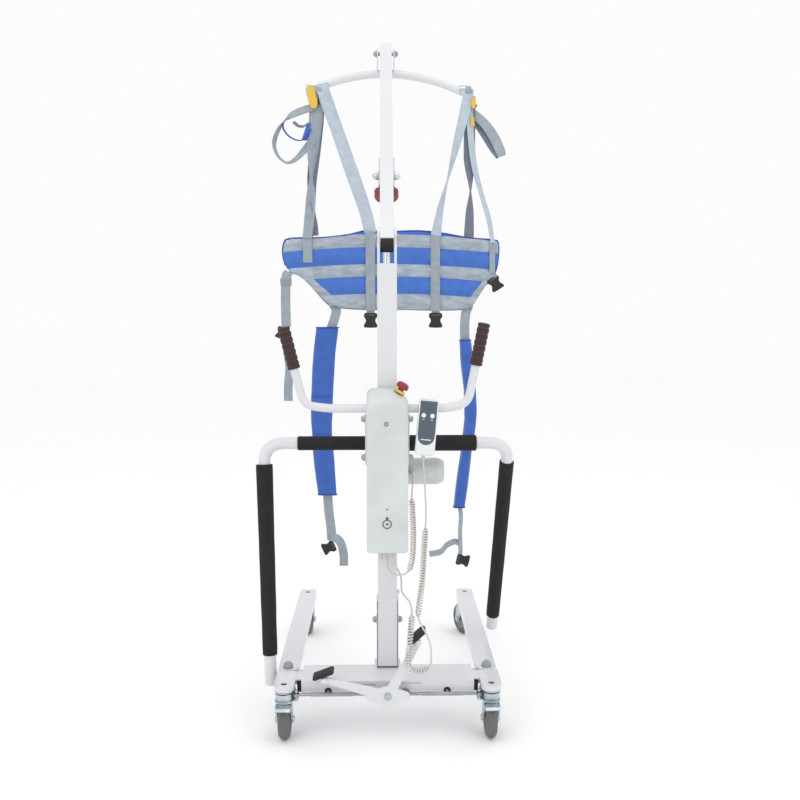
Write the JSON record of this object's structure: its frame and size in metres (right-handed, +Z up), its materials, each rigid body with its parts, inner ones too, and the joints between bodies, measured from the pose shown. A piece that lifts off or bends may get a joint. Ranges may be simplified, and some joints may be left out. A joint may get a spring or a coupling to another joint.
{
  "type": "sit to stand lift",
  "caption": "Wheeled patient lift: low base with spreading legs, upright mast, angled electric boom, padded side arms, push handle, and a padded sling hung from a bowed spreader bar.",
  "frame": {"origin": "on the floor, under the centre of the whole object's bounding box", "axes": "+Z up, +Y from the carer's handle towards the patient, +X to the right of someone pushing the lift"},
  "size_m": [0.7197, 0.883, 1.9027],
  "materials": {
    "white_coat": "white powder coat, satin",
    "light_grey": "light grey moulded plastic, fine grain",
    "zinc_steel": "bright zinc plate",
    "grey_tyre": "grey rubber tread on a plastic hub",
    "black_foam": "closed-cell foam sleeve",
    "grip_rubber": "moulded dark red-brown grip",
    "black_plastic": "moulded black plastic",
    "pedal_rubber": "ribbed black rubber",
    "red_plastic": "red moulded plastic",
    "yellow_plastic": "yellow moulded plastic",
    "button_white": "white moulded plastic",
    "cord_grey": "smooth light grey cord jacket",
    "blue_fabric": "woven blue polyester over padding",
    "grey_webbing": "ribbed grey-blue webbing"
  },
  "bodies": {
    "base": {"base_beam": "white_coat", "mast_tube": "white_coat", "boom_pivot_bolt": "zinc_steel", "pedal_bolt": "zinc_steel", "arm_bracket": "light_grey", "bracket_bolt_upper": "zinc_steel", "bracket_bolt_lower": "zinc_steel", "cross_bar": "white_coat", "cross_foam_left": "black_foam", "cross_foam_right": "black_foam", "handle_bar": "white_coat", "grip_left": "grip_rubber", "grip_right": "grip_rubber", "control_cover": "light_grey", "control_back": "black_plastic", "battery_pack": "black_plastic", "estop_collar": "yellow_plastic", "handset_body": "light_grey", "actuator_mount": "white_coat", "handset_cord": "cord_grey", "actuator_cord": "cord_grey"},
    "leg_left": {"leg_left": "white_coat", "leg_pin_left": "zinc_steel"},
    "leg_right": {"leg_right": "white_coat", "leg_pin_right": "zinc_steel"},
    "pedal": {"pedal_rocker": "white_coat", "pedal_pad_left": "pedal_rubber", "pedal_pad_right": "pedal_rubber"},
    "tie_rod_left": {"tie_rod_left": "zinc_steel"},
    "tie_rod_right": {"tie_rod_right": "zinc_steel"},
    "boom": {"boom_tube": "white_coat", "boom_end_cap": "black_plastic"},
    "actuator": {"actuator_body": "light_grey"},
    "actuator_rod": {"actuator_rod": "zinc_steel", "release_ring": "red_plastic"},
    "spreader": {"spreader_bar": "white_coat", "vest": "blue_fabric", "sling_straps_left": "grey_webbing", "sling_straps_right": "grey_webbing", "leg_strap_left": "grey_webbing", "leg_strap_right": "grey_webbing", "leg_pad_left": "blue_fabric", "leg_pad_right": "blue_fabric"},
    "side_arm_left": {"side_arm_left": "white_coat", "arm_foam_left": "black_foam"},
    "side_arm_right": {"side_arm_right": "white_coat", "arm_foam_right": "black_foam"},
    "brake_left": {"brake_pedal_left": "zinc_steel"},
    "brake_right": {"brake_pedal_right": "zinc_steel"},
    "estop": {"estop_button": "red_plastic"},
    "button_up": {"handset_button_up": "button_white"},
    "button_down": {"handset_button_down": "button_white"},
    "caster_rear_left": {"caster_fork_rear_left": "zinc_steel"},
    "wheel_rear_left": {"caster_wheel_rear_left": "grey_tyre"},
    "caster_rear_right": {"caster_fork_rear_right": "zinc_steel"},
    "wheel_rear_right": {"caster_wheel_rear_right": "grey_tyre"},
    "caster_front_left": {"caster_fork_front_left": "zinc_steel"},
    "wheel_front_left": {"caster_wheel_front_left": "grey_tyre"},
    "caster_front_right": {"caster_fork_front_right": "zinc_steel"},
    "wheel_front_right": {"caster_wheel_front_right": "grey_tyre"}
  },
  "joints": [
    {"name": "leg_left_spread", "type": "hinge", "parent": "base", "child": "leg_left", "pos_m": [-0.263, -0.2915, 0.131], "axis": [0, 0, 1], "range_deg": [0, 9]},
    {"name": "leg_right_spread", "type": "hinge", "parent": "base", "child": "leg_right", "pos_m": [0.263, -0.2915, 0.131], "axis": [0, 0, -1], "range_deg": [0, 9]},
    {"name": "pedal_turn", "type": "hinge", "parent": "base", "child": "pedal", "pos_m": [0, -0.4125, 0.117], "axis": [0, 1, 0], "range_deg": [0, 45]},
    {"name": "tie_rod_left_turn", "type": "hinge", "parent": "leg_left", "child": "tie_rod_left", "pos_m": [-0.233, -0.402, 0.118], "axis": [0, -0.7071, -0.7071], "range_deg": [0, 14.85]},
    {"name": "tie_rod_right_turn", "type": "hinge", "parent": "leg_right", "child": "tie_rod_right", "pos_m": [0.233, -0.402, 0.118], "axis": [0, -0.7071, 0.7071], "range_deg": [0, 14.85]},
    {"name": "boom_lift", "type": "hinge", "parent": "base", "child": "boom", "pos_m": [0, -0.2675, 1.273], "axis": [1, 0, 0], "range_deg": [-55, 0]},
    {"name": "actuator_tilt", "type": "hinge", "parent": "base", "child": "actuator", "pos_m": [0, -0.1825, 0.595], "axis": [1, 0, 0], "range_deg": [-9.14, 0]},
    {"name": "rod_slide", "type": "slide", "parent": "actuator", "child": "actuator_rod", "axis": [0, 0.1752, 0.9845], "range_m": [-0.2546, 0]},
    {"name": "hanger", "type": "hinge", "parent": "boom", "child": "spreader", "pos_m": [0, 0.28964, 1.87466], "axis": [1, 0, 0], "range_deg": [0, 55]},
    {"name": "side_arm_left_swing", "type": "hinge", "parent": "base", "child": "side_arm_left", "pos_m": [0, -0.2175, 0.735], "axis": [1, 0, 0], "range_deg": [-8, 96]},
    {"name": "side_arm_right_swing", "type": "hinge", "parent": "base", "child": "side_arm_right", "pos_m": [0, -0.2175, 0.735], "axis": [1, 0, 0], "range_deg": [-34, 70]},
    {"name": "swivel_rear_left", "type": "hinge", "parent": "base", "child": "caster_rear_left", "pos_m": [-0.263, -0.4045, 0.11], "axis": [0, 0, 1], "continuous": true},
    {"name": "wheel_spin_rear_left", "type": "hinge", "parent": "caster_rear_left", "child": "wheel_rear_left", "pos_m": [-0.263, -0.3905, 0.05], "axis": [1, 0, 0], "continuous": true},
    {"name": "swivel_rear_right", "type": "hinge", "parent": "base", "child": "caster_rear_right", "pos_m": [0.263, -0.4045, 0.11], "axis": [0, 0, 1], "continuous": true},
    {"name": "wheel_spin_rear_right", "type": "hinge", "parent": "caster_rear_right", "child": "wheel_rear_right", "pos_m": [0.263, -0.3905, 0.05], "axis": [1, 0, 0], "continuous": true},
    {"name": "swivel_front_left", "type": "hinge", "parent": "leg_left", "child": "caster_front_left", "pos_m": [-0.263, 0.3705, 0.11], "axis": [0, 0, 1], "continuous": true},
    {"name": "wheel_spin_front_left", "type": "hinge", "parent": "caster_front_left", "child": "wheel_front_left", "pos_m": [-0.263, 0.3845, 0.05], "axis": [1, 0, 0], "continuous": true},
    {"name": "swivel_front_right", "type": "hinge", "parent": "leg_right", "child": "caster_front_right", "pos_m": [0.263, 0.3705, 0.11], "axis": [0, 0, 1], "continuous": true},
    {"name": "wheel_spin_front_right", "type": "hinge", "parent": "caster_front_right", "child": "wheel_front_right", "pos_m": [0.25776, 0.38348, 0.05], "axis": [0.9272, 0.3746, 0], "continuous": true},
    {"name": "brake_left_press", "type": "hinge", "parent": "caster_rear_left", "child": "brake_left", "pos_m": [-0.263, -0.427, 0.0995], "axis": [1, 0, 0], "range_deg": [0, 12]},
    {"name": "brake_right_press", "type": "hinge", "parent": "caster_rear_right", "child": "brake_right", "pos_m": [0.263, -0.427, 0.0995], "axis": [1, 0, 0], "range_deg": [0, 12]},
    {"name": "estop_press", "type": "slide", "parent": "base", "child": "estop", "axis": [-0.5, 0, -0.866], "range_m": [0, 0.004], "stiffness_N_per_m": 500},
    {"name": "button_up_press", "type": "slide", "parent": "base", "child": "button_up", "axis": [0, 1, 0], "range_m": [0, 0.0012], "stiffness_N_per_m": 400},
    {"name": "button_down_press", "type": "slide", "parent": "base", "child": "button_down", "axis": [0, 1, 0], "range_m": [0, 0.0012], "stiffness_N_per_m": 400}
  ],
  "couplings": [
    {"joint": "leg_right_spread", "follows": "leg_left_spread", "ratio": 1},
    {"joint": "pedal_turn", "follows": "leg_left_spread", "ratio": 5},
    {"joint": "tie_rod_left_turn", "follows": "leg_left_spread", "ratio": 1.65},
    {"joint": "tie_rod_right_turn", "follows": "leg_left_spread", "ratio": 1.65},
    {"joint": "actuator_tilt", "follows": "boom_lift", "ratio": 0.16614},
    {"joint": "rod_slide", "follows": "boom_lift", "m_per_rad": 0.26515},
    {"joint": "hanger", "follows": "boom_lift", "ratio": -1}
  ]
}
